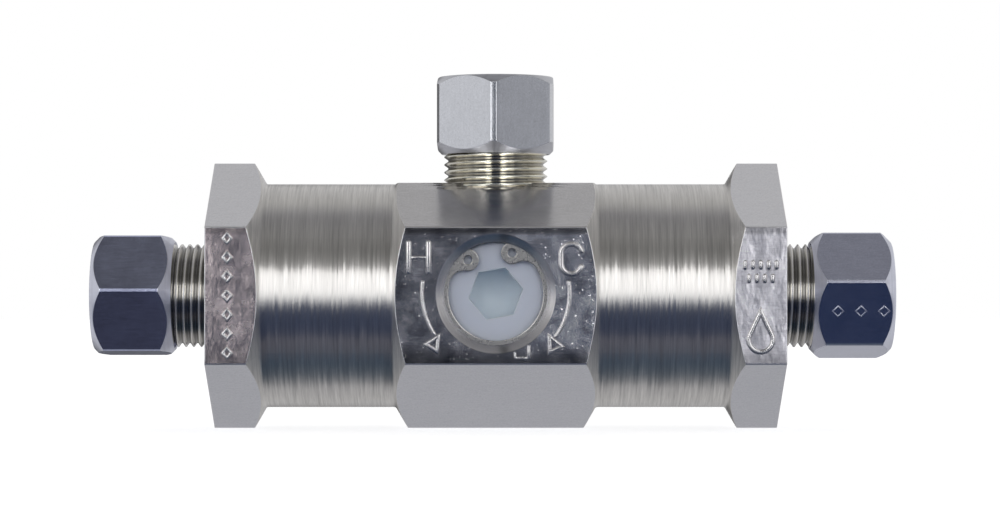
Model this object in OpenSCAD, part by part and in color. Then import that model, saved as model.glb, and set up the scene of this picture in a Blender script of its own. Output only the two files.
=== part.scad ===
// Three way mixing valve: hot inlet left, cold inlet right, mixed outlet on top, adjusting
// spindle in the front face. Hexagonal bar body with two turned barrels, compression nuts
// on screwed nipples, a sprung check valve in each inlet.
//
// Frame, millimetres: the origin is the centre of the rear face of the middle block, +X runs
// to the cold inlet, +Z to the outlet and +Y out of the rear face. The adjuster faces -Y.

/* [Bar body] */

// Hexagon bar size across flats
bar_af = 31.75; // [31.25:0.05:32.5]
// Half of the body length, to the outer face of a flange
body_half = 38.9; // [38.4:0.1:40]
// Half length of the hexagon left on the middle block, at its corners
block_half = 12.1; // [12:0.05:12.4]
// Length of the hexagon left on each end flange, at its corners
flange_w = 5.55; // [5.2:0.05:5.9]
// Radius of the turned barrels between the hexagons
barrel_r = 15.4; // [15.1:0.05:15.6]
// Height of the flat milled on the top corner of the middle block
land_z = 15.45; // [15.3:0.05:15.8]
// Fillet radius at the foot of each shoulder
shoulder_fillet = 0.5; // [0.3:0.05:0.8]

/* [Adjuster bore] */

// Height of the spindle axis above the middle of the front face
stem_z = 0.3; // [0:0.05:0.5]
// Radius of the spindle bore
stem_bore_r = 6.9; // [6.88:0.01:6.92]
// Depth of the spindle bore
stem_bore_depth = 25.375; // [25.33:0.005:25.45]
// Radius at the mouth of the bore's countersink
mouth_r = 7.95; // [7.5:0.05:8.1]
// Depth at which the retaining ring's front face sits
ring_depth = 1.3; // [1.25:0.05:1.35]

/* [Retaining ring] */

// Thickness of the ring
ring_t = 1; // [0.9:0.05:1.0]
// Inner radius of the ring
ring_in_r = 6.35; // [6.2:0.05:6.5]
// Outer radius of the ring, in its groove
ring_out_r = 7.4; // [7.3:0.02:7.4]
// Radius of each lug
lug_r = 1.5; // [1.3:0.05:1.6]
// Radius of the hole in each lug
lug_eye_r = 0.56; // [0.5:0.02:0.8]
// Distance of the lug holes from the spindle axis
lug_at_r = 5.83; // [5.7:0.01:5.9]
// Direction of the ring's gap, seen from the front
gap_dir = 99; // [60:1:120]
// Angle from the gap direction to each lug
lug_half_angle = 31; // [28:0.5:34]

/* [Mixing spindle] */

// Radius of the spindle
spindle_r = 6.85; // [6.83:0.01:6.87]
// Hexagon socket size across flats
key_af = 6.35; // [6:0.01:6.6]
// Depth of the hexagon socket
key_depth = 5; // [4:0.1:5.4]
// Turn of the socket's first corner, seen from the front
key_turn = 10; // [0:1:59]
// Travel of the spindle each way from the middle setting
turn_half = 40; // [35:1:44]

/* [Check valves] */

// Radius of the chamber that each check cartridge sits in
chamber_r = 6.05; // [6.03:0.01:6.1]
// Radius of the port from a chamber into the spindle bore
port_r = 3.5; // [3.2:0.05:3.6]
// Travel of a check poppet
check_travel = 2; // [1:0.1:2.2]
// Radius of the spring wire
wire_r = 0.3; // [0.2:0.01:0.32]

/* [Tube joints] */

// Outside radius of the nipple threads
thread_r = 7.14; // [7.1:0.01:7.17]
// Depth of the nipple threads
thread_depth = 0.57; // [0.5:0.01:0.6]
// Pitch of the nipple threads
pitch = 1.0583; // [1.0:0.0001:1.06]
// Length of nipple past the inner end of its nut
nut_cover = 7.24; // [7.1:0.01:7.4]
// Radius of the socket that takes the tube
tube_r = 4.85; // [4.8:0.01:4.88]
// Nut size across flats
nut_af = 15.875; // [15.8:0.005:16.2]
// Length of an inlet nut
nut_len = 11.08; // [11:0.02:11.4]
// Length of the outlet nut
outlet_nut_len = 10.66; // [10.6:0.02:11.4]
// Gap from the hot flange to its nut
hot_gap = 5.36; // [5:0.02:6]
// Gap from the cold flange to its nut
cold_gap = 4.5; // [4.2:0.02:6]
// Gap from the outlet land to its nut
outlet_gap = 4.05; // [3.8:0.05:5]
// Turn of the hot nut about its axis
hot_nut_turn = 5; // [0:0.5:60]
// Turn of the cold nut about its axis
cold_nut_turn = 12.5; // [0:0.5:60]
// Turn of the outlet nut about its axis
outlet_nut_turn = -2.2; // [-30:0.1:30]

/* [Raised marks] */

// Height of the raised marks above their face
mark_h = 0.32; // [0.15:0.01:0.4]
// Width of the strokes of the marks
stroke = 0.68; // [0.5:0.02:0.8]

/* [Hidden] */

$fa = 4;
$fs = 0.4;

eps = 0.01;
overshoot = 1;
six = 6;
hex_turn = 30;

// derived sizes of the bar
corner_r = bar_af / 2 / cos(hex_turn);
shoulder_lean = 30;
shoulder_slope = tan(shoulder_lean);
shoulder_len = (corner_r - barrel_r) * shoulder_slope;
block_foot = block_half + shoulder_len;
flange_in = body_half - flange_w;
flange_foot = flange_in - shoulder_len;
profile_margin = 0.4;
profile_r = corner_r + profile_margin;
profile_step = profile_margin * shoulder_slope;

// depths from the front face
axis_depth = bar_af / 2;
groove_play = 0.03;
groove_clear = 0.05;
groove_r = ring_out_r + groove_clear;
spindle_gap = 0.06;
spindle_face = ring_depth + ring_t + spindle_gap;
end_gap = 0.1;
spindle_end = stem_bore_depth - end_gap;
cut_half = 4.2;
seal_groove_r = 5.34;
seal_groove_half = 0.9;
seal_mid_r = 6.12;
seal_sect_r = 0.76;
front_seal_at = 8.9;
rear_seal_at = 21.9;
edge_break = 0.2;
wide_break = 0.4;
drill_angle_depth = 1.1;

// stop pin
pin_r = 1;
pin_at_r = 4.2;
pin_in = 3;
pin_out = 2.05;
pin_play = 0.01;
slot_play = 0.05;
slot_depth = 2.3;

// hollow beside each lug of the ring, and how far it cuts into the lug and the ring
hollow_r = 2;
hollow_bite = 0.03;
web_rise = 0.3;
gap_half = 25;
far = 20;
hollow_at = ring_in_r - hollow_r + hollow_bite;

// check cartridges, distances from the middle of the body
chamber_in = 18;
chamber_out = 31;
cage_r = 5.95;
cage_bore_r = 5.2;
cage_out = 28;
hub_r = 2;
hub_len = 3;
arm_t = 1.6;
arm_w = 1.4;
guide_r = 1.05;
stem_r = 1;
seat_bore_r = 3.6;
seat_out = 30.95;
seat_gap = 0.02;
disc_r = 4.3;
disc_t = 1.3;
seal_r = 4.15;
seal_t = 0.8;
boss_r = 1.45;
button_r = 2.2;
button_t = 0.6;
tip_clear = 0.5;
stem_tip = chamber_in + check_travel + tip_clear;
disc_back = cage_out - seat_gap - seal_t - disc_t;
ring_seal_at = 29.5;
ring_seal_groove_r = 4.87;
ring_seal_mid_r = 5.46;
ring_seal_sect_r = 0.56;
ring_seal_half = 0.7;

// springs
coil_r = 2.6;
coil_steps = 24;
wire_sides = 8;
end_turns = 1;
open_turns = 3;
end_pitch = 2 * wire_r + 0.03;
spring_gap = 0.01;

// nipples
root_r = thread_r - thread_depth;
tap_play = 0.03;
inlet_seat = body_half - chamber_out;
outlet_seat = 6.25;
flow_r = 3.7;
drive_af = 7.9375;
drive_len = 5.5;
socket_len = 9.5;
cone_len = 3.53;
cone_slope = tan(12);
thread_flank = 0.33;
thread_crest = 0.05;
first_ridge = 0.15;
last_gap = 0.1;
mouth_break = 0.25;

// nuts and ferrules, distances from a nut's inner end
nut_bore_r = thread_r + 0.06;
nut_rim_r = 7.45;
outlet_rim_r = 7.84;
nut_corner_r = 8.92;
nut_bore_len = 7.9;
nut_hole_r = 5;
ferrule_in_r = 4.9;
ferrule_front = 4.9;
ferrule_shoulder = 7.6;
ferrule_rear_r = 5.15;
ferrule_play = 0.04;
hole_break = 0.35;

// raised marks
mark_sink = 0.2;
thin_stroke = 0.5;
h_left = -11.62;
h_right = -8.97;
h_foot = 2.55;
h_top = 7.1;
h_bar = 4.78;
c_at = [10.1, 4.58];
c_half_w = 1.72;
c_half_h = 2.34;
c_mouth = 0.85;
arrow_r = 9.85;
left_arrow_from = 170;
left_arrow_to = 215;
right_arrow_from = -37;
right_arrow_to = 10;
head_line = 0.45;
left_head = [[-9.75, -6.8], [-7.4, -5.3], [-7.62, -8.2]];
right_head = [[9.25, -7.15], [6.95, -5.3], [6.95, -8.3]];
index_w = 0.42;
index_foot = -8.8;
index_x = 4.4;
index_len = 2.4;
index_side_x = 2.57;
index_side_len = 1.1;
flange_mark_x = 35.85;
pip_count = 7;
pip_pitch = 2.55;
pip_half_h = 0.9;
pip_half_w = 0.75;
bar_mark_w = 0.62;
bar_mark_h = 1.35;
bar_mark_pitch = 1.05;
top_row_z = 4.1;
low_row_z = 2.3;
top_row = 5;
low_row = 4;
drop_at = [35.35, -5.9];
drop_r = 1.95;
drop_tip = 4.6;

// colours
nickel = [0.72, 0.71, 0.69];
chrome = [0.78, 0.79, 0.82];
steel = [0.66, 0.67, 0.68];
brass = [0.78, 0.62, 0.34];
acetal = [0.88, 0.89, 0.90];
black_rubber = [0.10, 0.10, 0.11];
black_plastic = [0.20, 0.21, 0.23];

// ---- placing ----

// local z along the bar's axis towards +X, local x down
module along_bar() {
    translate([0, -axis_depth, 0])
        rotate([0, 90, 0])
            children();
}

// the hot side is the cold side's mirror image
module on_hot_side() {
    mirror([1, 0, 0])
        children();
}

// local z out of the front face on the spindle axis, x to the right, y up
module on_stem() {
    translate([0, -bar_af, stem_z])
        rotate([90, 0, 0])
            children();
}

// the same on the middle of the front face
module on_front() {
    translate([0, -bar_af, 0])
        rotate([90, 0, 0])
            children();
}

// local z up the outlet's axis, from the bar's axis
module along_outlet() {
    translate([0, -axis_depth, 0])
        children();
}

module hex_prism(af, len) {
    cylinder(r = af / 2 / cos(hex_turn), h = len, $fn = six);
}

module torus(mid_r, sect_r) {
    rotate_extrude()
        translate([mid_r, 0])
            circle(r = sect_r, $fn = 48);
}

// ---- valve body ----

function mirrored(half) = concat(
    [for (p = half) p],
    [for (i = [len(half) - 1:-1:0]) [half[i][0], -half[i][1]]]
);

// from the outer flange face to the middle, radius against distance along the bar
body_half_profile = [
    [0, body_half],
    [profile_r, body_half],
    [profile_r, flange_in + profile_step],
    [barrel_r, flange_foot],
    [barrel_r, block_foot],
    [profile_r, block_half - profile_step],
];

// small fill in a corner of the profile: "to" points along the barrel, +1 or -1
module corner_fill(at, to) {
    leg = shoulder_fillet * tan(shoulder_lean);
    mid = [barrel_r + shoulder_fillet, at + to * leg];
    difference() {
        polygon([
            [barrel_r - eps, at - to * eps],
            [barrel_r - eps, at + to * leg],
            mid,
            [barrel_r + leg * cos(shoulder_lean), at - to * leg * sin(shoulder_lean)],
        ]);
        translate(mid)
            circle(r = shoulder_fillet, $fn = 64);
    }
}

module turned_shape() {
    rotate_extrude() {
        polygon(mirrored(body_half_profile));
        corner_fill(flange_foot, -1);
        corner_fill(block_foot, 1);
        corner_fill(-flange_foot, 1);
        corner_fill(-block_foot, -1);
    }
}

module bar_shape() {
    difference() {
        along_bar()
            intersection() {
                turned_shape();
                translate([0, 0, -body_half - overshoot])
                    hex_prism(bar_af, 2 * (body_half + overshoot));
            }
        translate([-block_foot, -bar_af, land_z])
            cube([2 * block_foot, bar_af, corner_r]);
    }
}

module inlet_cavity() {
    along_bar() {
        cylinder(r = port_r, h = chamber_in + overshoot);
        translate([0, 0, chamber_in])
            cylinder(r = chamber_r, h = chamber_out - chamber_in + eps);
        translate([0, 0, chamber_out])
            cylinder(r = root_r + tap_play, h = inlet_seat + overshoot);
    }
}

module outlet_cavity() {
    along_outlet() {
        cylinder(r = flow_r, h = land_z);
        translate([0, 0, land_z - outlet_seat])
            cylinder(r = root_r + tap_play, h = outlet_seat + overshoot);
    }
}

module stem_cavity() {
    on_stem() {
        translate([0, 0, -stem_bore_depth])
            cylinder(r = stem_bore_r, h = stem_bore_depth + overshoot);
        translate([0, 0, stem_bore_r - mouth_r])
            cylinder(r1 = stem_bore_r, r2 = mouth_r + overshoot, h = mouth_r - stem_bore_r + overshoot);
        translate([0, 0, -ring_depth - ring_t - groove_play])
            cylinder(r = groove_r, h = ring_t + 2 * groove_play);
        translate([0, -pin_at_r, -stem_bore_depth - pin_in])
            cylinder(r = pin_r + pin_play, h = pin_in + overshoot);
    }
}

module letter_h() {
    for (x = [h_left, h_right])
        translate([x - stroke / 2, h_foot])
            square([stroke, h_top - h_foot]);
    translate([h_left, h_bar - thin_stroke / 2])
        square([h_right - h_left, thin_stroke]);
}

module c_blob(half_w, half_h) {
    rise = half_h - half_w;
    translate([0, rise])
        circle(r = half_w);
    translate([0, -rise])
        circle(r = half_w);
    translate([-half_w, -rise])
        square([2 * half_w, 2 * rise]);
}

module letter_c() {
    translate(c_at)
        difference() {
            c_blob(c_half_w, c_half_h);
            c_blob(c_half_w - stroke, c_half_h - stroke);
            translate([0, -c_mouth])
                square([2 * c_half_w, 2 * c_mouth]);
        }
}

module arc_mark(from, to) {
    rotate_extrude(angle = to - from, start = from)
        translate([arrow_r - thin_stroke / 2, -mark_sink])
            square([thin_stroke, mark_h + mark_sink]);
}

function centre_of(t) = (t[0] + t[1] + t[2]) / 3;
function inner_of(t, k) = [for (p = t) centre_of(t) + (p - centre_of(t)) * k];

// outline of a triangle
module arrow_head(t) {
    difference() {
        polygon(t);
        polygon(inner_of(t, 1 - head_line * 2));
    }
}

module index_mark() {
    translate([index_x - index_w / 2, index_foot])
        square([index_w, index_len]);
    translate([index_side_x - index_w / 2, index_foot])
        square([index_w, index_side_len]);
    translate([index_side_x, index_foot])
        square([index_x - index_side_x, index_w]);
}

module raised() {
    translate([0, 0, -mark_sink])
        linear_extrude(height = mark_h + mark_sink)
            children();
}

module lozenge(half_w, half_h) {
    polygon([[half_w, 0], [0, half_h], [-half_w, 0], [0, -half_h]]);
}

// column of small lozenges on the hot flange
module pip_column() {
    first = -(pip_count - 1) / 2 * pip_pitch;
    for (i = [0:pip_count - 1])
        translate([-flange_mark_x, first + i * pip_pitch])
            difference() {
                lozenge(pip_half_w, pip_half_h);
                lozenge(pip_half_w / 3, pip_half_h / 3);
            }
}

// row of short bars on the cold flange
module bar_row(count, z) {
    first = drop_at[0] - (count - 1) / 2 * bar_mark_pitch;
    for (i = [0:count - 1])
        translate([first + i * bar_mark_pitch - bar_mark_w / 2, z - bar_mark_h / 2])
            square([bar_mark_w, bar_mark_h]);
}

module drop_shape(r, tip) {
    lean = asin(r / tip);
    circle(r = r);
    polygon([
        [0, tip],
        [-r * cos(lean), r * sin(lean)],
        [0, 0],
        [r * cos(lean), r * sin(lean)],
    ]);
}

// outline of a water drop
module water_drop() {
    translate(drop_at)
        difference() {
            drop_shape(drop_r, drop_tip);
            drop_shape(drop_r - stroke, drop_tip - 2 * stroke);
        }
}

module body_marks() {
    on_stem() {
        raised()
            letter_h();
        raised()
            letter_c();
        raised()
            arrow_head(left_head);
        raised()
            arrow_head(right_head);
        raised()
            index_mark();
        arc_mark(left_arrow_from, left_arrow_to);
        arc_mark(right_arrow_from, right_arrow_to);
    }
    on_front() {
        raised()
            pip_column();
        raised()
            bar_row(top_row, top_row_z);
        raised()
            bar_row(low_row, low_row_z);
        raised()
            water_drop();
    }
}

module valve_body() {
    color(nickel)
        difference() {
            union() {
                bar_shape();
                body_marks();
            }
            inlet_cavity();
            on_hot_side()
                inlet_cavity();
            outlet_cavity();
            stem_cavity();
        }
}

module stop_pin() {
    color(steel)
        on_stem()
            translate([0, -pin_at_r, -stem_bore_depth - pin_in])
                cylinder(r = pin_r, h = pin_in + pin_out);
}

// ---- adjuster ----

module key_hole() {
    translate([0, 0, -spindle_face - key_depth])
        rotate([0, 0, key_turn])
            hex_prism(key_af, key_depth + overshoot);
    translate([0, 0, -spindle_face - key_depth - drill_angle_depth])
        cylinder(r1 = 0, r2 = key_af / 2, h = drill_angle_depth);
}

module seal_groove(at) {
    translate([0, 0, -at - seal_groove_half])
        difference() {
            cylinder(r = spindle_r + overshoot, h = 2 * seal_groove_half);
            translate([0, 0, -overshoot])
                cylinder(r = seal_groove_r, h = 2 * (seal_groove_half + overshoot));
        }
}

module stop_slot() {
    slot_r = pin_r + slot_play;
    translate([0, 0, -spindle_end - overshoot]) {
        rotate_extrude(angle = 2 * turn_half, start = -90 - turn_half)
            translate([pin_at_r - slot_r, 0])
                square([2 * slot_r, slot_depth + overshoot]);
        for (a = [-turn_half, turn_half])
            rotate([0, 0, a])
                translate([0, -pin_at_r, 0])
                    cylinder(r = slot_r, h = slot_depth + overshoot);
    }
}

module spindle_blank() {
    rotate_extrude()
        polygon([
            [0, -spindle_face],
            [spindle_r - edge_break, -spindle_face],
            [spindle_r, -spindle_face - edge_break],
            [spindle_r, -spindle_end + edge_break],
            [spindle_r - edge_break, -spindle_end],
            [0, -spindle_end],
        ]);
}

module mixing_spindle() {
    color(acetal)
        on_stem()
            difference() {
                spindle_blank();
                key_hole();
                seal_groove(front_seal_at);
                seal_groove(rear_seal_at);
                stop_slot();
                translate([-overshoot - spindle_r, 0, -axis_depth - cut_half])
                    cube([2 * (spindle_r + overshoot), spindle_r + overshoot, 2 * cut_half]);
            }
}

module stem_seal(at) {
    on_stem()
        translate([0, 0, -at])
            torus(seal_mid_r, seal_sect_r);
}

module spindle_front_o_ring() {
    color(black_rubber)
        stem_seal(front_seal_at);
}

module spindle_rear_o_ring() {
    color(black_rubber)
        stem_seal(rear_seal_at);
}

function polar(r, a) = [r * cos(a), r * sin(a)];

// turn about the spindle axis from a lug to the foot of the hollow beside it
hollow_spread = acos(
    (pow(lug_at_r, 2) + pow(hollow_at, 2) - pow(lug_r + hollow_r - hollow_bite, 2))
    / (2 * lug_at_r * hollow_at)
);

function lug_dir(side) = gap_dir + side * lug_half_angle;
function foot_dir(side) = lug_dir(side) + side * hollow_spread;

// one lug and its web; side is +1 or -1
module lug(side) {
    root = (ring_in_r + ring_out_r) / 2;
    centre = polar(lug_at_r, lug_dir(side));
    hollow = polar(hollow_at, foot_dir(side));
    rim = [
        polar(root, lug_dir(side)),
        polar(root + web_rise, (lug_dir(side) + foot_dir(side)) / 2),
        polar(root, foot_dir(side)),
    ];
    translate(centre)
        circle(r = lug_r, $fn = 64);
    polygon(
        side > 0
        ? [centre, rim[0], rim[1], rim[2], hollow]
        : [centre, hollow, rim[2], rim[1], rim[0]]
    );
}

// open ring with a sector left out for the gap
module ring_shape() {
    difference() {
        circle(r = ring_out_r);
        circle(r = ring_in_r);
        polygon([[0, 0], polar(far, gap_dir - gap_half), polar(far, gap_dir + gap_half)]);
    }
}

module lug_cuts(side) {
    translate(polar(lug_at_r, lug_dir(side)))
        circle(r = lug_eye_r, $fn = 48);
    translate(polar(hollow_at, foot_dir(side)))
        circle(r = hollow_r, $fn = 64);
}

module retaining_ring() {
    color(steel)
        on_stem()
            translate([0, 0, -ring_depth - ring_t])
                linear_extrude(height = ring_t)
                    difference() {
                        union() {
                            ring_shape();
                            lug(1);
                            lug(-1);
                        }
                        lug_cuts(1);
                        lug_cuts(-1);
                    }
}

// ---- check cartridges, drawn on the cold side ----

module cage() {
    along_bar() {
        translate([0, 0, chamber_in])
            difference() {
                cylinder(r = cage_r, h = cage_out - chamber_in);
                translate([0, 0, -overshoot])
                    cylinder(r = cage_bore_r, h = cage_out - chamber_in + 2 * overshoot);
            }
        translate([0, 0, chamber_in])
            difference() {
                union() {
                    cylinder(r = hub_r, h = hub_len);
                    for (a = [90, 210, 330])
                        rotate([0, 0, a])
                            translate([0, -arm_w / 2, 0])
                                cube([(cage_r + cage_bore_r) / 2, arm_w, arm_t]);
                }
                translate([0, 0, -overshoot])
                    cylinder(r = guide_r, h = hub_len + 2 * overshoot);
            }
    }
}

module seat() {
    along_bar()
        rotate_extrude()
            polygon([
                [seat_bore_r, cage_out],
                [cage_r, cage_out],
                [cage_r, ring_seal_at - ring_seal_half],
                [ring_seal_groove_r, ring_seal_at - ring_seal_half],
                [ring_seal_groove_r, ring_seal_at + ring_seal_half],
                [cage_r, ring_seal_at + ring_seal_half],
                [cage_r, seat_out],
                [seat_bore_r + wide_break, seat_out],
                [seat_bore_r, seat_out - wide_break],
            ]);
}

module seat_seal() {
    along_bar()
        translate([0, 0, ring_seal_at])
            torus(ring_seal_mid_r, ring_seal_sect_r);
}

module poppet() {
    face = cage_out - seat_gap;
    along_bar()
        rotate_extrude()
            polygon([
                [0, stem_tip],
                [stem_r - edge_break, stem_tip],
                [stem_r, stem_tip + edge_break],
                [stem_r, disc_back],
                [disc_r, disc_back],
                [disc_r, disc_back + disc_t],
                [boss_r, disc_back + disc_t],
                [boss_r, face],
                [button_r, face],
                [button_r, face + button_t - edge_break],
                [button_r - edge_break, face + button_t],
                [0, face + button_t],
            ]);
}

module poppet_seal() {
    along_bar()
        translate([0, 0, disc_back + disc_t])
            difference() {
                cylinder(r = seal_r, h = seal_t);
                translate([0, 0, -overshoot])
                    cylinder(r = boss_r, h = seal_t + 2 * overshoot);
            }
}

// height of the wire's centre after "t" turns
function coil_z(t, mid_rise) =
    t < end_turns ? t * end_pitch
    : t < end_turns + open_turns ? end_turns * end_pitch + (t - end_turns) * mid_rise
    : end_turns * end_pitch + open_turns * mid_rise + (t - end_turns - open_turns) * end_pitch;

module spring() {
    from = chamber_in + arm_t + spring_gap + wire_r;
    to = disc_back - spring_gap - wire_r;
    turns = 2 * end_turns + open_turns;
    mid_rise = (to - from - 2 * end_turns * end_pitch) / open_turns;
    n = turns * coil_steps;
    m = wire_sides;
    points = [
        for (i = [0:n])
            for (j = [0:m - 1])
                let (
                    a = 360 * i / coil_steps,
                    b = 360 * j / m,
                    r = coil_r + wire_r * cos(b),
                    z = from + coil_z(i / coil_steps, mid_rise) + wire_r * sin(b)
                )
                [r * cos(a), r * sin(a), z],
    ];
    sides = [
        for (i = [0:n - 1])
            for (j = [0:m - 1])
                let (
                    p = i * m + j,
                    q = i * m + (j + 1) % m
                )
                each [[p, q, p + m], [q, q + m, p + m]],
    ];
    start_cap = [[for (j = [m - 1:-1:0]) j]];
    end_cap = [[for (j = [0:m - 1]) n * m + j]];
    along_bar()
        polyhedron(points = points, faces = concat(sides, start_cap, end_cap), convexity = 10);
}

module hot_check_cage() {
    color(black_plastic)
        on_hot_side()
            cage();
}

module hot_check_seat() {
    color(brass)
        on_hot_side()
            seat();
}

module hot_check_o_ring() {
    color(black_rubber)
        on_hot_side()
            seat_seal();
}

module hot_check_poppet() {
    color(acetal)
        on_hot_side()
            poppet();
}

module hot_check_seal() {
    color(black_rubber)
        on_hot_side()
            poppet_seal();
}

module hot_check_spring() {
    color(steel)
        on_hot_side()
            spring();
}

module cold_check_cage() {
    color(black_plastic)
        cage();
}

module cold_check_seat() {
    color(brass)
        seat();
}

module cold_check_o_ring() {
    color(black_rubber)
        seat_seal();
}

module cold_check_poppet() {
    color(acetal)
        poppet();
}

module cold_check_seal() {
    color(black_rubber)
        poppet_seal();
}

module cold_check_spring() {
    color(steel)
        spring();
}

// ---- tube joints ----

function ridge(at) = [
    [root_r, at],
    [thread_r, at + thread_flank],
    [thread_r, at + thread_flank + thread_crest],
    [root_r, at + 2 * thread_flank + thread_crest],
];

// outside of a nipple from its foot to its mouth, threads as parallel rings
function nipple_outside(free) = let (n = floor((free - first_ridge - last_gap) / pitch))
    concat(
        [for (i = [0:n - 1]) each ridge(first_ridge + i * pitch)],
        [[root_r, free - mouth_break], [root_r - mouth_break, free]]
    );

// foot at z = -seat_len, mouth at z = free
module nipple(seat_len, free) {
    difference() {
        rotate_extrude()
            polygon(concat(
                [[0, -seat_len], [root_r - edge_break, -seat_len],
                 [root_r, -seat_len + edge_break]],
                nipple_outside(free),
                [[0, free]]
            ));
        translate([0, 0, -seat_len - overshoot])
            cylinder(r = flow_r, h = seat_len + free + overshoot);
        translate([0, 0, free - socket_len - drive_len])
            hex_prism(drive_af, drive_len + overshoot);
        translate([0, 0, free - socket_len])
            cylinder(r = tube_r, h = socket_len + overshoot);
        translate([0, 0, free - cone_len])
            cylinder(r1 = tube_r, r2 = tube_r + (cone_len + overshoot) * cone_slope,
                h = cone_len + overshoot);
    }
}

// inner end at z = 0
module ferrule() {
    cone_foot = nut_cover - cone_len;
    front_r = tube_r + (ferrule_front - cone_foot) * cone_slope - ferrule_play;
    wide_r = tube_r + (ferrule_shoulder - cone_foot) * cone_slope - ferrule_play;
    rear_slope_at = nut_bore_len + nut_bore_r - wide_r - 1.5 * ferrule_play;
    rear_end = rear_slope_at + wide_r - ferrule_rear_r;
    rotate_extrude()
        polygon([
            [ferrule_in_r, ferrule_front],
            [front_r, ferrule_front],
            [wide_r, ferrule_shoulder],
            [wide_r, rear_slope_at],
            [ferrule_rear_r, rear_end],
            [ferrule_in_r, rear_end],
        ]);
}

// inner end at z = 0; outer_r is the radius of the outer end face
module nut(len, outer_r) {
    difference() {
        intersection() {
            hex_prism(nut_af, len);
            rotate_extrude()
                polygon([
                    [0, 0],
                    [nut_rim_r, 0],
                    [nut_corner_r, nut_corner_r - nut_rim_r],
                    [nut_corner_r, len - nut_corner_r + outer_r],
                    [outer_r, len],
                    [0, len],
                ]);
        }
        translate([0, 0, -overshoot])
            cylinder(r = nut_bore_r, h = nut_bore_len + overshoot);
        translate([0, 0, nut_bore_len])
            cylinder(r1 = nut_bore_r, r2 = nut_hole_r, h = nut_bore_r - nut_hole_r);
        translate([0, 0, nut_bore_len])
            cylinder(r = nut_hole_r, h = len);
        translate([0, 0, len - hole_break])
            cylinder(r1 = nut_hole_r, r2 = nut_hole_r + 2 * hole_break, h = 2 * hole_break);
    }
}

module hot_nipple() {
    color(nickel)
        on_hot_side()
            along_bar()
                translate([0, 0, body_half])
                    nipple(inlet_seat, hot_gap + nut_cover);
}

module hot_ferrule() {
    color(brass)
        on_hot_side()
            along_bar()
                translate([0, 0, body_half + hot_gap])
                    ferrule();
}

module hot_nut() {
    color(chrome)
        on_hot_side()
            along_bar()
                translate([0, 0, body_half + hot_gap])
                    rotate([0, 0, hex_turn - hot_nut_turn])
                        nut(nut_len, nut_rim_r);
}

module cold_nipple() {
    color(nickel)
        along_bar()
            translate([0, 0, body_half])
                nipple(inlet_seat, cold_gap + nut_cover);
}

module cold_ferrule() {
    color(brass)
        along_bar()
            translate([0, 0, body_half + cold_gap])
                ferrule();
}

module cold_nut() {
    color(chrome)
        along_bar()
            translate([0, 0, body_half + cold_gap])
                rotate([0, 0, hex_turn - cold_nut_turn])
                    nut(nut_len, nut_rim_r);
}

module outlet_nipple() {
    color(nickel)
        along_outlet()
            translate([0, 0, land_z])
                nipple(outlet_seat, outlet_gap + nut_cover);
}

module outlet_ferrule() {
    color(brass)
        along_outlet()
            translate([0, 0, land_z + outlet_gap])
                ferrule();
}

module outlet_nut() {
    color(chrome)
        along_outlet()
            translate([0, 0, land_z + outlet_gap])
                rotate([0, 0, hex_turn + outlet_nut_turn])
                    nut(outlet_nut_len, outlet_rim_r);
}

valve_body();
stop_pin();
mixing_spindle();
spindle_front_o_ring();
spindle_rear_o_ring();
retaining_ring();
hot_check_cage();
hot_check_seat();
hot_check_o_ring();
hot_check_poppet();
hot_check_seal();
hot_check_spring();
hot_nipple();
hot_ferrule();
hot_nut();
cold_check_cage();
cold_check_seat();
cold_check_o_ring();
cold_check_poppet();
cold_check_seal();
cold_check_spring();
cold_nipple();
cold_ferrule();
cold_nut();
outlet_nipple();
outlet_ferrule();
outlet_nut();
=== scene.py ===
import math

import bmesh
import bpy
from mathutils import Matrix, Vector


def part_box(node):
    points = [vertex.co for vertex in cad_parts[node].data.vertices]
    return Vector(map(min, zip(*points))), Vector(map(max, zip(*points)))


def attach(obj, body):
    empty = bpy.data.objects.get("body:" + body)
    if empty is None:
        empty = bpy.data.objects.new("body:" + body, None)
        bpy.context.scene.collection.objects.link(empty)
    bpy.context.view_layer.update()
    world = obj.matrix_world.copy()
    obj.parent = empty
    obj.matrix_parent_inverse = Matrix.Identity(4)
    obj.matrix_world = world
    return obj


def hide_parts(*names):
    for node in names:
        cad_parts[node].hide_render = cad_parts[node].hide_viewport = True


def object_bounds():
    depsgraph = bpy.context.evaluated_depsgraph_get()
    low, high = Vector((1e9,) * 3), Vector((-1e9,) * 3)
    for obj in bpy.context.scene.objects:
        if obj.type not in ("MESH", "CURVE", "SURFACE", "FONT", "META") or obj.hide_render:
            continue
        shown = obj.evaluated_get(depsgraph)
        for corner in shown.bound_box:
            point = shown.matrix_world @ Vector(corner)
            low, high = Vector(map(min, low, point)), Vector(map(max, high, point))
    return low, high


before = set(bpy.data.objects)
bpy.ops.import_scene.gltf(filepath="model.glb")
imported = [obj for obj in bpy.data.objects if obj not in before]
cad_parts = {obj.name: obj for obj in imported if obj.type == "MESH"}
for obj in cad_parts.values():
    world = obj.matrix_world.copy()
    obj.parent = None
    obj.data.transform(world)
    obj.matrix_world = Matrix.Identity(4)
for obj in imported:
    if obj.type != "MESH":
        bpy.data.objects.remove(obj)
CAD_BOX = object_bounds()

MM = 0.001
scene = bpy.context.scene

# ---- sizes shared with the CAD part, in millimetres ----

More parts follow.
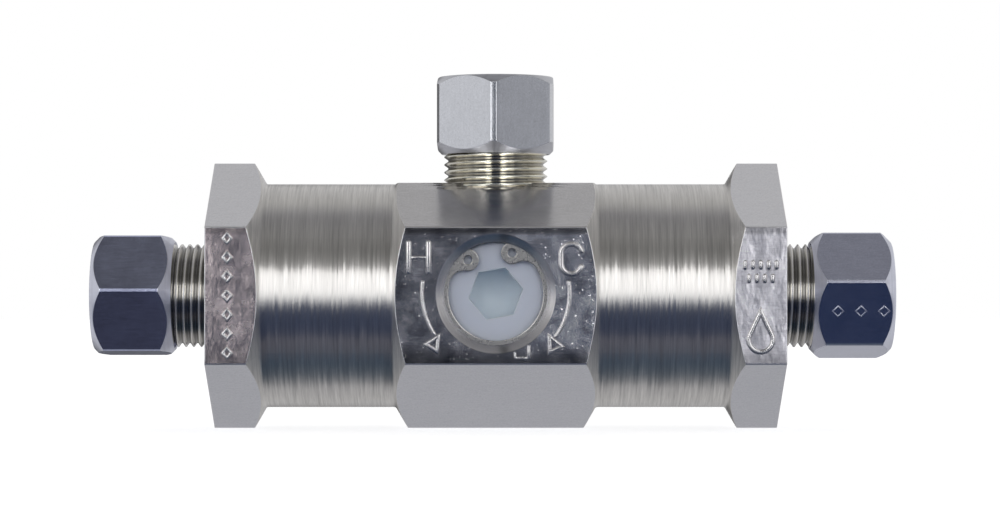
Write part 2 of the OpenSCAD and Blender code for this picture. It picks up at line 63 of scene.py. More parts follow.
BAR_AF = 31.75
APOTHEM = BAR_AF / 2
CORNER_R = APOTHEM / math.cos(math.radians(30))
BARREL_R = 15.4
BODY_HALF = 38.9
BLOCK_HALF = 12.1
FLANGE_IN = BODY_HALF - 5.55
LAND_Z = 15.45
SLOPE = math.tan(math.radians(30))
FLANGE_FOOT = FLANGE_IN - (CORNER_R - BARREL_R) * SLOPE
BLOCK_FOOT = BLOCK_HALF + (CORNER_R - BARREL_R) * SLOPE
STEM_Z = 0.3
STEM_BORE_R = 6.9
STEM_BORE_DEPTH = 25.375
MOUTH_R = 7.95
GROOVE_R = 7.45
CHAMBER_R = 6.05
PORT_R = 3.5
TAP_R = 6.6
FLOW_R = 3.7
OUTLET_SEAT_Z = 9.2
MARK_H = 0.32
PITCH = 1.0583
THREAD_DEPTH = 0.57
ROOT_R = 6.57
NUT_AF = 15.875
NUT_RIM_R = 7.45
NUT_BORE_R = 7.2
NUT_HOLE_R = 5.0
NUT_BORE_LEN = 7.9
NUT_EDGE = 0.14
NUT_HOLE_EDGE = 0.35
PIN_AT_R = 4.2
TUBE_R = 4.85
SOCKET_LEN = 9.5
CONE_LEN = 3.53
CONE_SLOPE = math.tan(math.radians(12))
DRIVE_AF = 7.9375
DRIVE_LEN = 5.5
MOUTH_EDGE = 0.25
FOOT_EDGE = 0.2


# ---- mesh helpers ----

def mesh_object(name, bm, sharp_deg=35):
    """Turns a bmesh in millimetres into an object in metres."""
    bmesh.ops.remove_doubles(bm, verts=bm.verts, dist=1e-5)
    bmesh.ops.recalc_face_normals(bm, faces=bm.faces)
    bmesh.ops.scale(bm, vec=(MM, MM, MM), verts=bm.verts)
    mesh = bpy.data.meshes.new(name)
    bm.to_mesh(mesh)
    bm.free()
    obj = bpy.data.objects.new(name, mesh)
    scene.collection.objects.link(obj)
    shade(obj, sharp_deg)
    return obj


def shade(obj, sharp_deg=35):
    for poly in obj.data.polygons:
        poly.use_smooth = True
    obj.data.set_sharp_from_angle(angle=math.radians(sharp_deg))


def weighted(obj):
    mod = obj.modifiers.new("normals", "WEIGHTED_NORMAL")
    mod.keep_sharp = True
    mod.weight = 80


def rounded(points, radii, steps=3):
    """A closed (axial, radial) loop with its corners rounded; every corner keeps the same count."""
    out = []
    n = len(points)
    for i, p in enumerate(points):
        radius = radii[i]
        if radius <= 0:
            out.append(p)
            continue
        a = Vector(points[i - 1])
        b = Vector(p)
        c = Vector(points[(i + 1) % n])
        into = (a - b)
        away = (c - b)
        turn = math.pi - into.angle(away)
        cut = min(radius * math.tan(turn / 2), 0.45 * into.length, 0.45 * away.length)
        start = b + into.normalized() * cut
        end = b + away.normalized() * cut
        for k in range(steps + 1):
            t = k / steps
            q = start * (1 - t) ** 2 + b * 2 * t * (1 - t) + end * t ** 2
            out.append((q.x, q.y))
    return out


def column_grid(columns, place, shift=0, shifted_rows=0):
    """Closed skin through columns of points. The seam may be shifted along its first rows."""
    bm = bmesh.new()
    verts = [[bm.verts.new(place(p)) for p in column] for column in columns]
    count = len(columns)
    rows = len(columns[0])

    def seam_row(row):
        return min(row + shift, shifted_rows - 1) if row < shifted_rows else row

    for i in range(count):
        wrap = i == count - 1
        here, there = verts[i], verts[(i + 1) % count]
        for j in range(rows):
            k = (j + 1) % rows
            a, b = here[j], here[k]
            if wrap and shift:
                d, c = there[seam_row(j)], there[seam_row(k)]
            else:
                d, c = there[j], there[k]
            ring = []
            for v in (a, b, c, d):
                if v not in ring:
                    ring.append(v)
            if len(ring) > 2:
                try:
                    bm.faces.new(ring)
                except ValueError:
                    pass
    return bm


def hex_corner(apothem, flat):
    """Distance of a worn corner's flat from the axis, and the angle to the flat's edge."""
    corner = apothem / math.cos(math.radians(30))
    far = corner - flat / 2 / math.tan(math.radians(60))
    return far, math.degrees(math.atan(flat / 2 / far))


def hex_radius(theta, apothem, flat):
    """Radius of a hexagon with worn corners; facet normals at 0, 60, 120 degrees."""
    far, _ = hex_corner(apothem, flat)
    off = abs((theta % 60) - 30)
    return min(far / math.cos(math.radians(off)), apothem / math.cos(math.radians(30 - off)))


def hex_angles(apothem, flat, step, extra=()):
    """Angles for a hexagon's columns: even steps, with more at the corners."""
    _, touch = hex_corner(apothem, flat)
    near = [f for side in (-1, 1) for f in (0.9 * side, 1.12 * side)]
    fine = [30 + 60 * k + touch * f for k in range(6) for f in near]
    fine += list(extra)
    even = [step * k for k in range(int(360 / step))]
    kept = [a for a in even if all(abs(a - f) > touch * 0.8 for f in fine)]
    return sorted(kept + fine)


def lathe(profile, place, steps):
    """Solid of revolution from a closed (axial, radial) polyline whose ends lie on the axis."""
    bm = bmesh.new()
    rings = []
    for z, r in profile:
        if r < 1e-6:
            rings.append([bm.verts.new(place((z, 0, 0)))] * steps)
        else:
            rings.append([
                bm.verts.new(place((z, r * math.cos(2 * math.pi * i / steps),
                                    r * math.sin(2 * math.pi * i / steps))))
                for i in range(steps)
            ])
    for a, b in zip(rings, rings[1:]):
        for i in range(steps):
            j = (i + 1) % steps
            ring = []
            for v in (a[i], b[i], b[j], a[j]):
                if v not in ring:
                    ring.append(v)
            if len(ring) > 2:
                bm.faces.new(ring)
    return bm


def cut(obj, cutter):
    """Takes cutter away from obj for good, and deletes cutter."""
    mod = obj.modifiers.new("cut", "BOOLEAN")
    mod.operation = "DIFFERENCE"
    mod.solver = "EXACT"
    mod.object = cutter
    bpy.context.view_layer.update()
    graph = bpy.context.evaluated_depsgraph_get()
    mesh = bpy.data.meshes.new_from_object(obj.evaluated_get(graph))
    obj.modifiers.clear()
    obj.data = mesh
    bpy.data.objects.remove(cutter)


# local (axial, radial angle) systems; a point is (axial, cos part, sin part)

def from_bar(p):
    """Axial along +X, angle 0 towards the front, 90 up."""
    return (p[0], -APOTHEM - p[1], p[2])


def from_stem(p):
    """Axial is the depth behind the front face."""
    return (p[1], -BAR_AF + p[0], STEM_Z + p[2])


def from_outlet(p):
    """Axial up the outlet; angle 0 towards the front, 90 to the right."""
    return (p[2], -APOTHEM - p[1], p[0])


def on_cold(start):
    return lambda p: (start + p[0], -APOTHEM - p[1], p[2])


def on_hot(start):
    return lambda p: (-start - p[0], -APOTHEM - p[1], -p[2])


def on_outlet(start):
    return lambda p: (p[2], -APOTHEM - p[1], start + p[0])


def columns_of(angles, profile_at):
    out = []
    for a in angles:
        c, s = math.cos(math.radians(a)), math.sin(math.radians(a))
        out.append([(z, r * c, r * s) for z, r in profile_at(a)])
    return out


# ---- valve body ----

BODY_WORN = 0.2


def body_profile(theta):
    """Section of the body at one angle about the bar's axis, as a closed loop."""
    hexagon = hex_radius(theta, APOTHEM, BODY_WORN)
    block = hexagon
    rise = math.sin(math.radians(theta))
    if rise > 0.5:
        block = min(hexagon, LAND_Z / rise)
    flange_edge = FLANGE_IN - (CORNER_R - hexagon) * SLOPE
    block_edge = BLOCK_HALF + (CORNER_R - block) * SLOPE
    half = [
        (BODY_HALF - 0.3, TAP_R, 0),
        (BODY_HALF, TAP_R + 0.3, 0),
        (BODY_HALF, hexagon, 0.12),
        (flange_edge, hexagon, 0.12),
        (FLANGE_FOOT, BARREL_R, 0.5),
        (BLOCK_FOOT, BARREL_R, 0.5),
        (block_edge, block, 0.12),
    ]
    outer = half + [(-z, r, e) for z, r, e in reversed(half)]
    inner_half = [(-31, TAP_R, 0), (-31, CHAMBER_R, 0), (-18, CHAMBER_R, 0), (-18, PORT_R, 0)]
    loop = outer + inner_half + [(-z, r, e) for z, r, e in reversed(inner_half)]
    return rounded([(z, r) for z, r, _ in loop], [e for _, _, e in loop])


def stroke(bm, path, width, height=MARK_H, closed=False, sink=0.2):
    """A raised rounded ridge along a path on the front face; path is (x, z) in millimetres."""
    half = [(0.58, -1), (0.58, 0.0), (0.53, 0.4), (0.44, 0.8), (0.3, 0.97), (0.12, 1.0)]
    section = [(-s, h) for s, h in half] + list(reversed(half))
    pts = [Vector(p) for p in path]
    n = len(pts)
    frames = []
    for i, p in enumerate(pts):
        if closed:
            before, after = pts[i - 1], pts[(i + 1) % n]
        else:
            before, after = pts[max(i - 1, 0)], pts[min(i + 1, n - 1)]
        a = (p - before).normalized() if (p - before).length > 0 else (after - p).normalized()
        b = (after - p).normalized() if (after - p).length > 0 else a
        along = (a + b).normalized()
        side = Vector((-along.y, along.x))
        miter = 1 / max(0.45, side.dot(Vector((-a.y, a.x))))
        frames.append((p, side * miter, 1.0))
    if not closed:
        first, last = frames[0], frames[-1]
        back = (pts[0] - pts[1]).normalized()
        on = (pts[-1] - pts[-2]).normalized()
        caps = ((0.2, 0.88), (0.36, 0.6), (0.42, 0.35))
        lead = [(first[0] + back * width * d, first[1], s) for d, s in reversed(caps)]
        tail = [(last[0] + on * width * d, last[1], s) for d, s in caps]
        frames = lead + frames + tail
    rings = []
    for p, side, scale in frames:
        ring = []
        for s, h in section:
            q = p + side * s * width * scale
            up = h * height * (0.35 + 0.65 * scale) if h > 0 else -sink
            ring.append(bm.verts.new((q.x, -BAR_AF - up, q.y)))
        rings.append(ring)
    m = len(section)
    pairs = list(zip(rings, rings[1:])) + ([(rings[-1], rings[0])] if closed else [])
    for a, b in pairs:
        for k in range(m):
            bm.faces.new((a[k], a[(k + 1) % m], b[(k + 1) % m], b[k]))
    if not closed:
        bm.faces.new(rings[0])
        bm.faces.new(list(reversed(rings[-1])))


def arc(centre, radius, start, end, steps):
    return [
        (centre[0] + radius * math.cos(math.radians(start + (end - start) * k / steps)),
         centre[1] + radius * math.sin(math.radians(start + (end - start) * k / steps)))
        for k in range(steps + 1)
    ]


def inset(corners, by):
    """A triangle moved in by a distance, as its corners pulled towards the middle."""
    mid = Vector(corners[0]) / 3 + Vector(corners[1]) / 3 + Vector(corners[2]) / 3
    sides = [(Vector(corners[i]), Vector(corners[(i + 1) % 3])) for i in range(3)]
    nearest = min(abs((b - a).normalized().cross(mid - a)) for a, b in sides)
    k = 1 - by / nearest
    return [tuple(mid + (Vector(c) - mid) * k) for c in corners]


def subdivided(path, closed, gap=0.35):
    out = []
    n = len(path)
    for i in range(n if closed else n - 1):
        a, b = Vector(path[i]), Vector(path[(i + 1) % n])
        parts = max(1, int((b - a).length / gap))
        out += [tuple(a.lerp(b, k / parts)) for k in range(parts)]
    if not closed:
        out.append(path[-1])
    return out


def body_marks():
    bm = bmesh.new()
    wide, thin = 0.68, 0.5

    def stem(points):
        return [(x, z + STEM_Z) for x, z in points]

    for x in (-11.62, -8.97):
        stroke(bm, stem([(x, 2.84), (x, 4.8), (x, 6.82)]), wide)
    stroke(bm, stem([(-11.3, 4.78), (-9.3, 4.78)]), 0.42, MARK_H * 0.7)
    top = arc((10.1, 5.2), 1.38, 15, 180, 16)
    low = arc((10.1, 3.96), 1.38, 180, 345, 16)
    stroke(bm, stem(top + low), wide)
    stroke(bm, stem(arc((0, 0), 9.85, 171.0, 214, 28)), thin)
    stroke(bm, stem(arc((0, 0), 9.85, -36, 9.0, 28)), thin)
    left_head = inset([(-9.75, -6.8), (-7.4, -5.3), (-7.62, -8.2)], 0.25)
    right_head = inset([(9.25, -7.15), (6.95, -5.3), (6.95, -8.3)], 0.25)
    for head in (left_head, right_head):
        stroke(bm, stem(subdivided(head, True)), thin, closed=True)
    stroke(bm, stem([(4.4, -8.6), (4.4, -7.05)]), 0.42)
    stroke(bm, stem([(2.57, -8.65), (2.57, -7.95)]), 0.36, MARK_H * 0.6)
    stroke(bm, stem([(2.7, -8.62), (4.25, -8.62)]), 0.36, MARK_H * 0.6)

    for i in range(7):
        z = (i - 3) * 2.55
        lozenge = [(-35.3, z), (-35.85, z + 0.68), (-36.4, z), (-35.85, z - 0.68)]
        stroke(bm, subdivided(lozenge, True, 0.3), 0.44, closed=True)
    for count, z in ((5, 4.1), (4, 2.3)):
        for i in range(count):
            x = 35.35 + (i - (count - 1) / 2) * 1.05
            stroke(bm, [(x, z - 0.42), (x, z + 0.42)], 0.56)
    drop_r, tip = 1.61, 3.92
    lean = math.degrees(math.asin(drop_r / tip))
    around = arc((35.35, -5.9), drop_r, 180 - lean, 360 + lean, 30)
    peak = (35.35, -5.9 + tip - 0.1)
    sides = subdivided([around[-1], peak, around[0]], False)
    stroke(bm, around[:-1] + sides[:-1], 0.62, closed=True)
    return bm


def valve_body():
    land_turn = math.degrees(math.atan2(LAND_Z, 2 * (APOTHEM - LAND_Z * math.sin(math.radians(60)))))
    extra = [t + d for t in (land_turn, 180 - land_turn) for d in (-0.12, 0.12)]
    angles = hex_angles(APOTHEM, BODY_WORN, 2.5, extra)
    bm = column_grid(columns_of(angles, body_profile), from_bar)
    body = mesh_object("body_shell", bm)
    cone = MOUTH_R - STEM_BORE_R
    stem_cut = [
        (-1, 0), (-1, MOUTH_R + 0.07), (0, MOUTH_R + 0.07), (0.03, MOUTH_R + 0.01),
        (0.09, MOUTH_R - 0.08), (cone, STEM_BORE_R), (1.27, STEM_BORE_R), (1.27, GROOVE_R),
        (2.33, GROOVE_R), (2.33, STEM_BORE_R), (STEM_BORE_DEPTH, STEM_BORE_R),
        (STEM_BORE_DEPTH, 0),
    ]
    cut(body, mesh_object("cut_stem", lathe(stem_cut, from_stem, 144)))
    outlet_cut = [(0, 0), (0, FLOW_R), (OUTLET_SEAT_Z, FLOW_R), (OUTLET_SEAT_Z, TAP_R),
                  (20, TAP_R), (20, 0)]
    cut(body, mesh_object("cut_outlet", lathe(outlet_cut, from_outlet, 96)))
    pin_cut = [(24.9, 0), (24.9, 1.01), (28.375, 1.01), (28.375, 0)]

    def pin_place(p):
        return (p[1], -BAR_AF + p[0], STEM_Z - PIN_AT_R + p[2])

    cut(body, mesh_object("cut_pin", lathe(pin_cut, pin_place, 32)))
    marks = mesh_object("body_marks", body_marks(), 50)
    return body, marks


# ---- nuts and nipples ----

def nut_profile(theta, length, worn, outer_r):
    hexagon = hex_radius(theta, NUT_AF / 2, worn)
    inner = hexagon - NUT_RIM_R
    outer = hexagon - outer_r
    loop = [
        (0, NUT_BORE_R + NUT_EDGE, 0.04),
        (0, NUT_RIM_R, 0.06),
        (inner, hexagon, 0.12),
        (length - outer, hexagon, 0.12),
        (length, outer_r, 0.15),
        (length, NUT_HOLE_R + NUT_HOLE_EDGE, 0.1),
        (length - NUT_HOLE_EDGE, NUT_HOLE_R, 0.1),
        (NUT_BORE_LEN + NUT_BORE_R - NUT_HOLE_R, NUT_HOLE_R, 0),
        (NUT_BORE_LEN, NUT_BORE_R, 0),
        (NUT_EDGE, NUT_BORE_R, 0.04),
    ]
    return rounded([(z, r) for z, r, _ in loop], [e for _, _, e in loop])


def nut(name, place, length, first_facet, worn, outer_r=NUT_RIM_R):
    """first_facet is the angle of one facet's normal in the local system."""
    columns = []
    for a in hex_angles(NUT_AF / 2, worn, 3):
        turned = math.radians(a + first_facet)
        c, s = math.cos(turned), math.sin(turned)
        columns.append([(z, r * c, r * s) for z, r in nut_profile(a, length, worn, outer_r)])
    return mesh_object(name, column_grid(columns, place))


def lozenge_stamps(name, facet_deg, start, at):
    """Small lozenge marks standing on one facet of the cold nut."""
    up = math.radians(facet_deg)
    normal = Vector((0, -math.cos(up), math.sin(up)))
    across = Vector((0, math.sin(up), math.cos(up)))
    middle = Vector((start, -APOTHEM, 0)) + normal * (NUT_AF / 2 + 0.01) + across * 0.3
    bm = bmesh.new()
    turns, sides, big, small = 4, 10, 0.74, 0.12
    for x in at:
        centre = middle + Vector((x, 0, 0))
        rings = []
        for i in range(turns):
            a = 2 * math.pi * i / turns
            out = Vector((1, 0, 0)) * math.cos(a) + across * math.sin(a)
            rings.append([
                bm.verts.new(centre + out * (big + small * math.cos(b)) + normal * small * math.sin(b))
                for b in (2 * math.pi * j / sides for j in range(sides))
            ])
        for i in range(turns):
            a, b = rings[i], rings[(i + 1) % turns]
            for j in range(sides):
                k = (j + 1) % sides
                bm.faces.new((a[j], a[k], b[k], b[j]))
    return mesh_object(name, bm, 80)


def nipple(name, place, seat_len, free, thread_from):
    """Right-handed thread as a closed skin whose rows climb one pitch a turn."""
    steps = 96
    cone_r = TUBE_R + CONE_LEN * CONE_SLOPE
    drive_in = free - SOCKET_LEN - DRIVE_LEN
    profile = ((0, 0), (0.11, 0.06), (0.29, 0.55), (0.43, 0.93), (0.5, 1), (0.57, 0.93),
               (0.71, 0.55), (0.89, 0.06))
    low, high = thread_from, free - 0.45
    turns = math.ceil((high - low) / PITCH) + 2
    base = low - 1.5 * PITCH
    outer = [(k, f, h) for k in range(turns + 2) for f, h in profile]
    columns = []
    for i in range(steps):
        turn = i / steps
        a = 360 * turn
        c, s = math.cos(math.radians(a)), math.sin(math.radians(a))
        rows = []
        for k, f, h in outer:
            z = base + (k + f + turn) * PITCH
            z = min(max(z, low), high)
            fade = min(1, (z - low) / 0.5, (high - z) / 0.5)
            rows.append((z, ROOT_R + THREAD_DEPTH * h * max(fade, 0)))
        drive = DRIVE_AF / 2 / math.cos(math.radians((a % 60) - 30))
        rows += [
            (free - MOUTH_EDGE, ROOT_R), (free, ROOT_R - MOUTH_EDGE), (free, cone_r),
            (free - CONE_LEN, TUBE_R), (free - SOCKET_LEN, TUBE_R), (free - SOCKET_LEN, drive),
            (drive_in, drive), (drive_in, FLOW_R), (-seat_len, FLOW_R),
            (-seat_len, ROOT_R - FOOT_EDGE), (-seat_len + FOOT_EDGE, ROOT_R),
        ]
        columns.append([(z, r * c, r * s) for z, r in rows])
    bm = column_grid(columns, place, shift=len(profile), shifted_rows=len(outer))
    return mesh_object(name, bm, 50)


# ---- pieces made from a CAD node's own shape ----

def softened(name, node, width, wants, sharp_deg=35, segments=3):
    """Copy of a CAD node with the picked edges rounded."""
    bm = bmesh.new()
    bm.from_mesh(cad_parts[node].data)
    bmesh.ops.remove_doubles(bm, verts=bm.verts, dist=1e-7)
    bmesh.ops.dissolve_limit(bm, angle_limit=math.radians(0.2), verts=bm.verts, edges=bm.edges)
    picked = [
        e for e in bm.edges
        if e.is_manifold and e.calc_face_angle() > math.radians(25) and wants(e)
    ]
    bmesh.ops.bevel(bm, geom=picked, offset=width * MM, segments=segments, profile=0.5,
                    affect="EDGES", clamp_overlap=False)
    bmesh.ops.triangulate(bm, faces=[f for f in bm.faces if len(f.verts) > 4])
    mesh = bpy.data.meshes.new(name)
    bm.to_mesh(mesh)
    bm.free()
    obj = bpy.data.objects.new(name, mesh)
    scene.collection.objects.link(obj)
    shade(obj, sharp_deg)
    return obj


def at_depth(y_mm):
    def test(edge):
        return all(abs(v.co.y / MM - y_mm) < 0.01 for v in edge.verts)
    return test


# ---- shader helpers ----

def new_node(tree, kind, inputs=None, **props):
    node = tree.nodes.new("ShaderNode" + kind)
    for key, value in props.items():
        setattr(node, key, value)
    for key, value in (inputs or {}).items():
        if isinstance(value, bpy.types.NodeSocket):
            tree.links.new(value, node.inputs[key])
        else:
            node.inputs[key].default_value = value
    return node


def maths(tree, operation, a, b=0.0, c=0.0, clamp=False):
    node = new_node(tree, "Math", {0: a, 1: b, 2: c}, operation=operation, use_clamp=clamp)
    return node.outputs[0]


def vector(tree, operation, a, b=(0, 0, 0), scale=None):
    inputs = {0: a}
    if operation != "NORMALIZE":
        inputs[1] = b
    if scale is not None:
        inputs = {0: a, "Scale": scale}
    return new_node(tree, "VectorMath", inputs, operation=operation).outputs[0]


def ramped(tree, value, low, high, out_low=0.0, out_high=1.0):
    """Smooth step of a value between two levels."""
    node = new_node(tree, "MapRange", {0: value, 1: low, 2: high, 3: out_low, 4: out_high},
                    interpolation_type="SMOOTHSTEP")
    return node.outputs[0]


def noise(tree, scale, detail=3.0, stretch=(1, 1, 1), roughness=0.5, offset=(0, 0, 0)):
    """Noise in object space; scale is in features per millimetre before stretching."""
    coord = new_node(tree, "TexCoord").outputs["Object"]
    factors = tuple(s * scale / MM for s in stretch)
    moved = vector(tree, "ADD", vector(tree, "MULTIPLY", coord, factors), offset)
    node = new_node(tree, "TexNoise", {"Vector": moved, "Scale": 1.0, "Detail": detail,
                                       "Roughness": roughness})
    return node.outputs[0]


def tinted(tree, colour, factor):
    """Colour scaled by a factor socket."""
    base = new_node(tree, "RGB")
    base.outputs[0].default_value = (*colour, 1)
    return vector(tree, "SCALE", base.outputs[0], scale=factor)


def material(name):
    mat = bpy.data.materials.new(name)
    mat.use_nodes = True
    tree = mat.node_tree
    tree.nodes.clear()
    out = new_node(tree, "OutputMaterial")
    bsdf = new_node(tree, "BsdfPrincipled")
    tree.links.new(bsdf.outputs[0], out.inputs[0])
    return mat, tree, bsdf


def feed(tree, bsdf, **sockets):
    names = {"colour": "Base Color", "rough": "Roughness", "metal": "Metallic",
             "normal": "Normal", "tangent": "Tangent", "aniso": "Anisotropic",
             "spec": "Specular IOR Level", "sss": "Subsurface Weight",
             "sss_radius": "Subsurface Radius", "sss_scale": "Subsurface Scale",
             "coat": "Coat Weight", "coat_rough": "Coat Roughness"}
    for key, value in sockets.items():
        target = bsdf.inputs[names[key]]
        if isinstance(value, bpy.types.NodeSocket):
            tree.links.new(value, target)
        else:
            target.default_value = value


def bump(tree, height, strength, distance_mm, normal=None):
    inputs = {"Strength": strength, "Distance": distance_mm * MM, "Height": height}
    if normal is not None:
        inputs["Normal"] = normal
    return new_node(tree, "Bump", inputs).outputs[0]


def turned_metal(name, colour, axis, rough=0.37, aniso=1.0, wobble=0.05, streak=0.34,
                 fine=3.0, slow=0.09, painted_root_shade=None):
    """Metal brushed round an axis: streaks run round it, highlights spread along it. The root level, when
    given, is painted shade: the colour darkens from the thread crests down to the roots.
    """
    mat, tree, bsdf = material(name)
    along = tuple(abs(a) for a in axis)
    stretch = tuple(1.0 if a > 0.5 else slow / fine for a in along)
    streaks = noise(tree, fine, 3.0, stretch, 0.75)
    coarse = noise(tree, fine * 0.35, 2.0, tuple(1.0 if a > 0.5 else slow / fine * 3 for a in along),
                   0.5, (13, 5, 7))
    patch = noise(tree, 0.12, 2.0, (1, 1, 1), 0.5, (3, 1, 9))
    normal = new_node(tree, "NewGeometry").outputs["Normal"]
    side = vector(tree, "CROSS_PRODUCT", tuple(axis), normal)
    mixed = maths(tree, "ADD", streaks, maths(tree, "MULTIPLY", coarse, 0.06))
    swing = maths(tree, "MULTIPLY", maths(tree, "SUBTRACT", mixed, 0.53), wobble * 4)
    bent = vector(tree, "NORMALIZE", vector(tree, "ADD", normal, vector(tree, "SCALE", side, scale=swing)))
    contrast = maths(tree, "MULTIPLY", maths(tree, "SUBTRACT", streaks, 0.5), streak * 3)
    level = maths(tree, "ADD", contrast, 0.97)
    level = maths(tree, "ADD", level, maths(tree, "MULTIPLY", maths(tree, "SUBTRACT", patch, 0.5), 0.12))
    # painted shade: the colour darkens towards the thread roots, standing in for the shade between the turns
    if painted_root_shade is not None:
        coord = new_node(tree, "TexCoord").outputs["Object"]
        centred = vector(tree, "ADD", coord, (0, APOTHEM * MM, 0))
        from_axis = vector(tree, "CROSS_PRODUCT", centred, tuple(axis))
        radius = new_node(tree, "VectorMath", {0: from_axis}, operation="LENGTH").outputs["Value"]
        height = ramped(tree, radius, ROOT_R * MM, (ROOT_R + THREAD_DEPTH) * MM, painted_root_shade, 1.1)
        level = maths(tree, "MULTIPLY", level, height)
    tangent = new_node(tree, "CombineXYZ", {0: axis[0], 1: axis[1], 2: axis[2]}).outputs[0]
    feed(tree, bsdf, colour=tinted(tree, colour, level), metal=1.0,
         rough=maths(tree, "ADD", maths(tree, "MULTIPLY", coarse, 0.06), rough - 0.03),
         aniso=aniso, normal=bent, tangent=tangent)
    return mat


def milled_metal(name, colour, rough=0.22, grain=(1, 0.12, 0.12), grain_scale=5.0, depth=0.004,
                 speck=0.5, mottling=0.25, wave=0.0, line=0.14, sheen=0.0, edge=None, lean=1.0):
    """Flat plated metal: fine grain in one direction, small pits, mottling, slow waves. With edge given,
    painted shade darkens the face towards its top and bottom edges, and a lean below one paints light as a
    gradient, darker on the left and lighter on the right.
    """
    mat, tree, bsdf = material(name)
    lines = noise(tree, grain_scale, 3.0, grain, 0.55)
    grit = noise(tree, 3.6, 3.0, (1, 1, 1), 0.7, (4, 8, 1))
    pits = noise(tree, 2.2, 1.0, (1, 1, 1), 0.5, (9, 2, 5))
    pit = ramped(tree, pits, 0.70, 0.78)
    patch = noise(tree, 0.35, 3.0, (1, 1, 1), 0.55, (1, 7, 3))
    height = maths(tree, "ADD", maths(tree, "MULTIPLY", lines, 1.0), maths(tree, "MULTIPLY", grit, 0.4))
    height = maths(tree, "SUBTRACT", height, maths(tree, "MULTIPLY", pit, speck * 3))
    level = maths(tree, "ADD", maths(tree, "MULTIPLY", maths(tree, "SUBTRACT", lines, 0.5), line), 0.98)
    level = maths(tree, "ADD", level, maths(tree, "MULTIPLY", maths(tree, "SUBTRACT", grit, 0.5), 0.36))
    level = maths(tree, "ADD", level, maths(tree, "MULTIPLY", maths(tree, "SUBTRACT", patch, 0.5), mottling))
    level = maths(tree, "SUBTRACT", level, maths(tree, "MULTIPLY", pit, speck * 0.3))
    # painted shade along the face's top and bottom edges, and a painted light gradient from left to right set
    # by lean
    if edge is not None:
        x, _, z = new_node(tree, "SeparateXYZ", {0: new_node(tree, "TexCoord").outputs["Object"]}).outputs
        level = maths(tree, "MULTIPLY", level, ramped(tree, x, -9 * MM, 9 * MM, lean, 2 - lean))
        level = maths(tree, "MULTIPLY", level, ramped(tree, z, -9.1 * MM, -5.5 * MM, edge, 1.0))
        level = maths(tree, "MULTIPLY", level, ramped(tree, z, 7.9 * MM, 8.6 * MM, 1.0, edge))
    normal = bump(tree, height, 1.0, depth)
    spread = 0.08
    if wave:
        spread = 0.22
        swell = noise(tree, 0.4, 3.0, (1, 1, 0.6), 0.6, (5, 3, 2))
        normal = bump(tree, swell, 1.0, wave, normal)
    if sheen:
        across = vector(tree, "CROSS_PRODUCT", new_node(tree, "NewGeometry").outputs["Normal"], (1, 0, 0))
        feed(tree, bsdf, aniso=sheen, tangent=across)
    feed(tree, bsdf, colour=tinted(tree, colour, level), metal=1.0,
         rough=maths(tree, "ADD", maths(tree, "MULTIPLY", patch, spread), rough - spread / 2),
         normal=normal)
    return mat


def plain_metal(name, colour, rough, speck_scale=3.0, depth=0.003):
    mat, tree, bsdf = material(name)
    grit = noise(tree, speck_scale, 3.0, (1, 1, 1), 0.6)
    patch = noise(tree, 0.5, 2.0, (1, 1, 1), 0.5, (6, 2, 8))
    level = maths(tree, "ADD", maths(tree, "MULTIPLY", maths(tree, "SUBTRACT", patch, 0.5), 0.2), 0.97)
    feed(tree, bsdf, colour=tinted(tree, colour, level), metal=1.0,
         rough=maths(tree, "ADD", maths(tree, "MULTIPLY", grit, 0.1), rough - 0.05),
         normal=bump(tree, grit, 1.0, depth))
    return mat


def soft_material(name, colour, rough, depth=0.004, scale=4.0, spec=0.5, sss=0.0, variation=0.12):
    """Plastic or rubber with a moulded grain."""
    mat, tree, bsdf = material(name)
    grit = noise(tree, scale, 4.0, (1, 1, 1), 0.55)
    patch = noise(tree, 0.3, 2.0, (1, 1, 1), 0.5, (2, 4, 8))
    level = maths(tree, "ADD", maths(tree, "MULTIPLY", maths(tree, "SUBTRACT", patch, 0.5), variation), 1.0)
    feed(tree, bsdf, colour=tinted(tree, colour, level), metal=0.0, spec=spec,
         rough=maths(tree, "ADD", maths(tree, "MULTIPLY", grit, 0.12), rough - 0.06),
         normal=bump(tree, grit, 0.8, depth))
    if sss:
        feed(tree, bsdf, sss=sss, sss_radius=(1.0, 1.0, 1.0), sss_scale=3.0 * MM)
    return mat


# ---- materials ----

